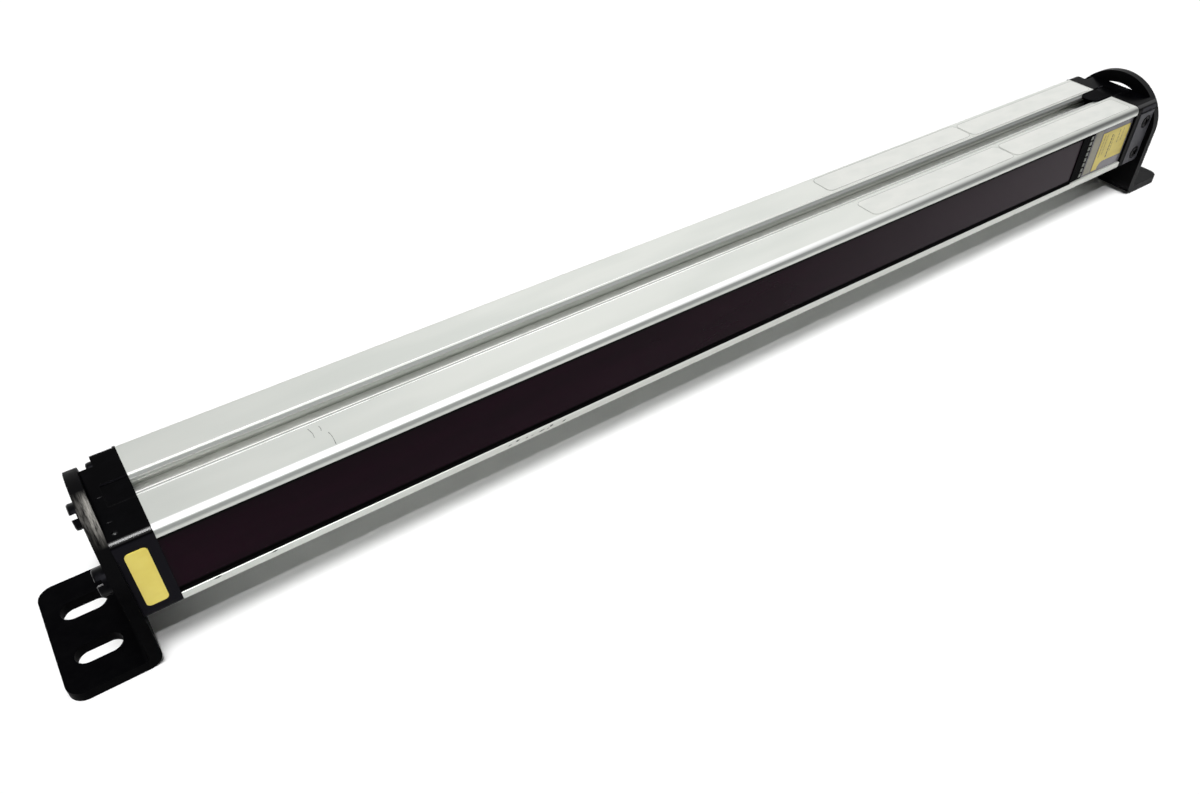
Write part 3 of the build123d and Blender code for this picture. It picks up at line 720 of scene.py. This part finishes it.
def ribbon(path, width, up, seed=0, waver=0.0):
    # flat strip along a path of points: each edge lies width / 2 * (1 + waver * mean of the sines) from it
    path = np.array(path, dtype=float)
    step = np.gradient(path, axis=0)
    sideways = np.cross(up, step)
    sideways /= np.linalg.norm(sideways, axis=1)[:, None]
    share = np.linspace(0.0, 1.0, len(path))
    shake = np.random.default_rng(seed).uniform(0.0, 2 * np.pi, len(waverRadians))
    wave = sum(np.sin(turn * share + phase) for turn, phase in zip(waverRadians, shake)) / len(waverRadians)
    half = (width / 2 * (1 + waver * wave))[:, None]
    return np.stack([path + sideways * half, path - sideways * half], axis=1)


def straightPath(start, end, count):
    # count points on the line start * (1 - s) + end * s
    share = np.linspace(0.0, 1.0, count)[:, None]
    return np.array(start) * (1 - share) + np.array(end) * share


upward = np.array([0.0, 0.0, 1.0])
frontward = np.array([0.0, -1.0, 0.0])
skin = 0.012  # millimetres that a mark lies above the face below it
highlightLineShape = {"step": 4.78, "stepWidth": 0.62, "mouth": 3.56, "mouthWidth": 0.5, "stepDepth": 0.5,
                "back": 5.92, "backWidth": 0.45, "rows": 240, "waver": 0.25}


def highlightLines():
    # painted highlight lines along the upper slot, two on the front step and one behind: straight ribbons
    shape = highlightLineShape
    low, high, top = barLow[0] / mm, barHigh[0] / mm, barTop / mm
    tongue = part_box("slot_tongue")[0][0] / mm
    onStep = top - shape["stepDepth"] + skin
    lines = (
        (-shape["step"], onStep, tongue, shape["stepWidth"]),
        (-shape["mouth"], onStep, tongue, shape["mouthWidth"]),
        (shape["back"], top + skin, high, shape["backWidth"]),
    )
    sheets = []
    for number, (y, z, end, width) in enumerate(lines):
        path = straightPath((low, y, z), (end, y, z), shape["rows"])
        sheets.append(ribbon(path, width, upward, number, shape["waver"]))
    surfacePiece("highlightLines", sheets, "highlightAluminium", closed=False)


shadeLineShape = {"edge": 5.3, "bevel": 0.35, "width": 0.42, "rows": 240, "waver": 0.2, "seed": 5}


def paintedShadeLine():
    # painted shade line on the bevel in front of the step: a straight ribbon of wavering width, tilted 45
    # degrees
    shape = shadeLineShape
    side = math.sqrt(0.5)
    y = -shape["edge"] - shape["bevel"] / 2 + skin * side
    z = barTop / mm - shape["bevel"] / 2 + skin * side
    path = straightPath((barLow[0] / mm, y, z), (barHigh[0] / mm, y, z), shape["rows"])
    strip = ribbon(path, shape["width"], np.array([0.0, side, side]), shape["seed"], shape["waver"])
    surfacePiece("paintedShadeLine", [strip], "shadeLineAluminium", closed=False)


scratchShape = {
    "paths": (((-202.6, -7.3), (-202.3, -10.3), (-202.3, -12.6)), ((-199.0, -8.1), (-199.1, -10.7)),
              ((-197.4, -12.7), (-197.4, -15.6), (-197.6, -19.9))),
    "width": 0.2,
    "bow": 0.25,
    "rows": 30,
    "waver": 0.5,
    "seed": 10,
}


def topScratches():
    # three scratches on the upper face: straight runs between each path's points, shifted by bow * sin(pi s)
    shape = scratchShape
    sheets = []
    top = barTop / mm + skin
    share = np.linspace(0.0, 1.0, shape["rows"])
    for number, path in enumerate(shape["paths"]):
        places = np.array(path)
        knots = np.linspace(0.0, 1.0, len(places))
        x = np.interp(share, knots, places[:, 0]) + shape["bow"] * np.sin(np.pi * share)
        y = np.interp(share, knots, places[:, 1])
        line = np.column_stack([x, y, np.full(len(share), top)])
        sheets.append(ribbon(line, shape["width"], upward, shape["seed"] + number, shape["waver"]))
    surfacePiece("topScratches", sheets, "scratchedAluminium", closed=False)


nickShape = {
    "places": ((-134.6, 22.9), (-131.1, 23.5), (-127.1, 22.9), (-124.8, 22.8), (-120.3, 23.0),
               (-117.6, 22.6), (-115.9, 23.3), (-110.1, 22.9), (-246.5, 24.2), (-226.9, 24.2)),
    "widths": (0.5, 0.8, 0.45, 0.35, 0.6, 0.5, 1.0, 0.55, 0.8, 0.7),
    "lengths": (1.8, 2.1, 1.3, 1.4, 3.2, 1.4, 1.6, 2.0, 3.0, 2.4),
    "tilt": 0.15,
    "rows": 14,
    "waver": 0.3,
    "seed": 30,
}


def lipNicks():
    # short dark nicks along the lower lip, each a leaf: its width is width * sin(pi s), nothing at both ends
    shape = nickShape
    sheets = []
    front = barLow[1] / mm - skin
    leaf = np.sin(np.linspace(0.0, np.pi, shape["rows"]))[:, None, None]
    nicks = zip(shape["places"], shape["widths"], shape["lengths"])
    for number, ((x, z), width, length) in enumerate(nicks):
        start = (x - length / 2, front, z - shape["tilt"])
        end = (x + length / 2, front, z + shape["tilt"])
        path = straightPath(start, end, shape["rows"])
        strip = ribbon(path, 1.0, frontward, shape["seed"] + number, shape["waver"])
        sheets.append(path[:, None, :] + (strip - path[:, None, :]) * width * leaf)
    surfacePiece("lipNicks", sheets, "scratchedAluminium", closed=False)


capMarkShape = {"ribs": (0.0, -12.4), "ribLength": 2.2, "ribRadius": 0.2, "ribInset": 1.4, "ribEnd": 0.02,
                "ribRows": 12, "ribColumns": 10, "pip": (-268.2, -17.6), "pipRadius": 0.9, "pipHeight": 0.4,
                "pipRings": 9, "pipColumns": 25}


def capMarks():
    # moulded marks on the left cap's top: two half-round ribs of radius ribRadius * sqrt(sin(pi s)) and a
    # pip of height pipHeight * (1 - (r / pipRadius)^2)
    shape = capMarkShape
    end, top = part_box("end_cap_left")[0][0] / mm, barTop / mm
    along = np.linspace(0.0, shape["ribLength"], shape["ribRows"])[:, None]
    share = np.linspace(shape["ribEnd"], 1 - shape["ribEnd"], shape["ribRows"])[:, None]
    bulge = shape["ribRadius"] * np.sqrt(np.sin(np.pi * share))
    angle = np.linspace(0.0, np.pi, shape["ribColumns"])
    sheets = []
    for y in shape["ribs"]:
        rib = np.zeros((shape["ribRows"], shape["ribColumns"], 3))
        rib[:, :, 0] = end + shape["ribInset"] + along
        rib[:, :, 1] = y + bulge * np.cos(angle)
        rib[:, :, 2] = top + bulge * np.sin(angle)
        sheets.append(rib)
    rings = np.linspace(0.0, 1.0, shape["pipRings"])[:, None]
    around = np.linspace(0.0, 2 * np.pi, shape["pipColumns"])
    pip = np.zeros((shape["pipRings"], shape["pipColumns"], 3))
    pip[:, :, 0] = shape["pip"][0] + shape["pipRadius"] * rings * np.cos(around)
    pip[:, :, 1] = shape["pip"][1] + shape["pipRadius"] * rings * np.sin(around)
    pip[:, :, 2] = top + shape["pipHeight"] * (1 - rings ** 2)
    sheets.append(pip)
    surfacePiece("capMarks", sheets, "blackCap", closed=False)


filmEdgeShape = {"width": 0.22, "inset": 0.11, "corner": 3.0, "steps": 10}


def roundedLoop(low, high, corner, steps):
    # points round a rectangle and back to the first: centre + corner * (cos, sin) over a quarter circle at
    # each corner
    quarter = np.linspace(0.0, np.pi / 2, steps)
    loop = []
    for turn, (x, y) in enumerate(((high[0] - corner, high[1] - corner), (low[0] + corner, high[1] - corner),
                                   (low[0] + corner, low[1] + corner), (high[0] - corner, low[1] + corner))):
        angle = quarter + turn * np.pi / 2
        loop.append(np.column_stack([x + corner * np.cos(angle), y + corner * np.sin(angle)]))
    loop = np.concatenate(loop)
    return np.concatenate([loop, loop[:1]])


def filmEdges():
    # the cut edge of each label film, a thin darker line round it: the strip between two rounded rectangles
    shape = filmEdgeShape
    sheets = []
    for node in ("label_back_long", "label_back_short", "label_front_long", "label_front_short"):
        low, high = np.array(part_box(node)) / mm
        inset = shape["inset"]
        outer = roundedLoop(low[:2] + inset, high[:2] - inset, shape["corner"] - inset, shape["steps"])
        within = inset + shape["width"]
        inner = roundedLoop(low[:2] + within, high[:2] - within, shape["corner"] - within, shape["steps"])
        strip = np.stack([inner, outer], axis=1)
        sheets.append(np.concatenate([strip, np.full((len(strip), 2, 1), high[2] + skin)], axis=2))
    surfacePiece("filmEdges", sheets, "filmEdge", closed=False)


cardLineShape = {
    "columns": (2.2, 4.6, 9.4, 11.2, 15.6, 18.8),
    "widths": (0.4, 0.35, 1.0, 0.4, 0.5, 0.4),
    "starts": (1.0, 1.6, 2.6, 3.4, 1.4, 1.2),
    "lengths": (13.0, 11.5, 12.5, 9.0, 7.0, 6.0),
    "dash": 1.6,
    "gap": 0.35,
    "rows": 4,
}


def cardLines():
    # generic lines on the status card: columns of short dashes, each a straight ribbon
    shape = cardLineShape
    low, high = np.array(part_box("status_card")) / mm
    front = low[1] - skin
    sheets = []
    lines = zip(shape["columns"], shape["widths"], shape["starts"], shape["lengths"])
    for column, width, start, length in lines:
        x, z = low[0] + column, high[2] - start
        while z > high[2] - start - length:
            path = straightPath((x, front, z), (x, front, z - shape["dash"]), shape["rows"])
            sheets.append(ribbon(path, width, frontward))
            z -= shape["dash"] + shape["gap"]
    surfacePiece("cardLines", sheets, "cardPrint", closed=False)


endScrews("cap_screws_left", capScrewShape, -1)
endScrews("cap_screws_right", capScrewShape, 1)
endScrews("bracket_screws_left", bracketScrewShape, -1)
endScrews("bracket_screws_right", bracketScrewShape, 1)
crossScrews("cover_screws")
connectorSocket("connector_shell")
print("screws and connector turned")
highlightLines()
paintedShadeLine()
topScratches()
lipNicks()
capMarks()
filmEdges()
cardLines()
print("edges, marks and print laid on")


stageLook = {
    "floorColour": "#FFFFFF",
    "floorRoughness": 0.9,
    "floorHalf": 6.0,
    "worldColour": "#FFFFFF",
    "seenStrength": 1.0,
    "diffuseStrength": 0.04,
}


def paleFloor():
    # flat square at the height of the feet, white to the camera but for the object's shadow
    look = stageLook
    half = look["floorHalf"]
    corners = [(-half, -half, 0), (half, -half, 0), (half, half, 0), (-half, half, 0)]
    mesh = bpy.data.meshes.new("paleFloor")
    mesh.from_pydata(corners, [], [(0, 1, 2, 3)])
    floor = bpy.data.objects.new("paleFloor", mesh)
    bpy.context.scene.collection.objects.link(floor)
    settings = {"Base Color": hexToLinear(look["floorColour"]), "Roughness": look["floorRoughness"],
                "Specular IOR Level": 0.0}
    mesh.materials.append(newMaterial("paleTable", settings)[0])


def plainWorld():
    # white where it is seen, mirrored or looked at through glass, and a low even fill for everything else
    look = stageLook
    world = bpy.data.worlds.new("studioWorld")
    bpy.context.scene.world = world
    world.use_nodes = True
    tree = world.node_tree
    tree.nodes.clear()
    path = addNode(tree, "ShaderNodeLightPath")
    seenOrMirrored = addNode(tree, "ShaderNodeMath", {"operation": "MAXIMUM"},
                             {0: path.outputs["Is Camera Ray"], 1: path.outputs["Is Glossy Ray"]})
    shown = addNode(tree, "ShaderNodeMath", {"operation": "MAXIMUM"},
                    {0: seenOrMirrored.outputs["Value"], 1: path.outputs["Is Transmission Ray"]})
    colour = hexToLinear(look["worldColour"])
    fill = addNode(tree, "ShaderNodeBackground", {"Color": colour, "Strength": look["diffuseStrength"]})
    seen = addNode(tree, "ShaderNodeBackground", {"Color": colour, "Strength": look["seenStrength"]})
    mixed = addNode(tree, "ShaderNodeMixShader", links={
        0: shown.outputs["Value"], 1: fill.outputs["Background"], 2: seen.outputs["Background"]})
    addNode(tree, "ShaderNodeOutputWorld", links={"Surface": mixed.outputs["Shader"]})


lampLook = {
    "broadFrom": (0.0, -0.19, 0.982),
    "broadStrength": 2.55,
    "broadAngleDegrees": 21.0,
    "edgeFrom": (0.0, -0.426, 0.905),
    "edgeStrength": 0.65,
    "edgeAngleDegrees": 1.5,
    "softPlace": (0.95, 1.36, 1.45),
    "softSize": 2.2,
    "softPower": 2.5,
}


def addLamp(name, kind, place, settings):
    # a lamp at place, its -Z axis aimed at the middle of the bar
    data = bpy.data.lights.new(name, kind)
    for setting, value in settings.items():
        setattr(data, setting, value)
    lamp = bpy.data.objects.new(name, data)
    bpy.context.scene.collection.objects.link(lamp)
    lamp.location = place
    lamp.visible_camera = False
    x, y, z = np.array([0.0, 0.0, axisHeight]) - np.array(place)
    lamp.rotation_euler = (math.atan2(math.hypot(x, y), -z), 0.0, math.atan2(y, x) - math.pi / 2)


def studioLamps():
    # broad light from above, a harder one at its front edge, and a soft disc behind that the satin metal
    # mirrors
    look = lampLook
    addLamp("broadLamp", "SUN", look["broadFrom"],
            {"energy": look["broadStrength"], "angle": math.radians(look["broadAngleDegrees"])})
    addLamp("edgeLamp", "SUN", look["edgeFrom"],
            {"energy": look["edgeStrength"], "angle": math.radians(look["edgeAngleDegrees"])})
    addLamp("softLamp", "AREA", look["softPlace"],
            {"shape": "DISK", "size": look["softSize"], "energy": look["softPower"]})


cameraLook = {
    "place": (-0.258048, -0.260407, 0.281677),
    "turnDegrees": (48.6074, -0.0378, -34.7257),
    "lensMm": 29.2346,
    "sensorMm": 36.0,
    "clip": (0.01, 50.0),
}


def photoCamera():
    # place, turn and lens found from the edges of the bar, the caps and the brackets in the photograph
    look = cameraLook
    data = bpy.data.cameras.new("photoCamera")
    data.lens = look["lensMm"]
    data.sensor_width = look["sensorMm"]
    data.clip_start, data.clip_end = look["clip"]
    camera = bpy.data.objects.new("photoCamera", data)
    bpy.context.scene.collection.objects.link(camera)
    camera.location = look["place"]
    camera.rotation_euler = [math.radians(turn) for turn in look["turnDegrees"]]
    bpy.context.scene.camera = camera


paleFloor()
plainWorld()
studioLamps()
photoCamera()
bpy.context.scene.view_settings.view_transform = "Standard"
print("stage, lamps and camera set")
